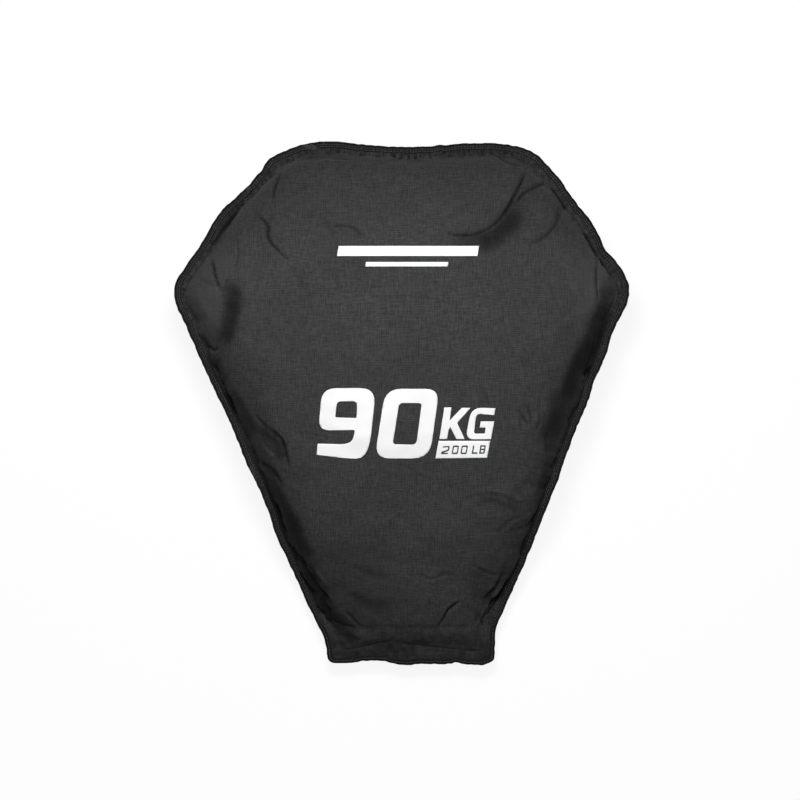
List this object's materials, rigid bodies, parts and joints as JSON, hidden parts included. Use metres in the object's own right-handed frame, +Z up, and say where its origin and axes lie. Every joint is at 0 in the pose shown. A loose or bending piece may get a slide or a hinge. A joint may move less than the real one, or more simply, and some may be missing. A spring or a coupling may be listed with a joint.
{
  "type": "sandbag trainer",
  "caption": "Flat stuffed strongman sandbag without handles: two cloth panels on a bound flange, wide shoulders and a narrow neck with a zipped, hook-and-loop closed filling mouth",
  "frame": {"origin": "on the floor, under the middle of the bag's bounding box", "axes": "+Z up, away from the floor that the back panel lies on; +Y towards the wide shoulder end, with the mouth at -Y; +X to the right of someone who looks down on the front panel"},
  "size_m": [0.6832, 0.786, 0.205],
  "materials": {
    "charcoal_cloth": "matte",
    "binding_tape": "matte",
    "hook_tape": "matte",
    "loop_tape": "matte",
    "zip_tape": "matte",
    "tooth_plastic": "satin",
    "slider_metal": "satin",
    "liner_cloth": "matte",
    "dry_sand": "matte"
  },
  "bodies": {
    "bag": {"front_panel": "charcoal_cloth", "back_panel": "charcoal_cloth", "edge_binding": "binding_tape", "back_lip": "charcoal_cloth", "back_lip_binding": "binding_tape", "loop_strip": "loop_tape", "zip_tape_front": "zip_tape", "zip_tape_back": "zip_tape", "zip_teeth_front": "tooth_plastic", "zip_teeth_back": "tooth_plastic", "zip_start_stop": "slider_metal", "zip_end_stop": "slider_metal", "liner_front": "liner_cloth", "liner_back": "liner_cloth", "filling_sleeve": "liner_cloth", "sand_fill": "dry_sand"},
    "mouth_flap": {"front_lip": "charcoal_cloth", "front_lip_binding": "binding_tape", "hook_strip": "hook_tape"},
    "slider": {"zip_slider": "slider_metal"},
    "pull": {"zip_pull": "slider_metal"}
  },
  "joints": [
    {"name": "mouth_flap_peel", "type": "hinge", "parent": "bag", "child": "mouth_flap", "pos_m": [0, -0.338, 0.046], "axis": [-1, 0, 0], "range_deg": [0, 110]},
    {"name": "slider_run", "type": "slide", "parent": "bag", "child": "slider", "axis": [-1, 0, 0], "range_m": [0, 0.153]},
    {"name": "pull_swing", "type": "hinge", "parent": "slider", "child": "pull", "pos_m": [0.0766, -0.34, 0.03], "axis": [0, 0, -1], "range_deg": [0, 180]}
  ]
}
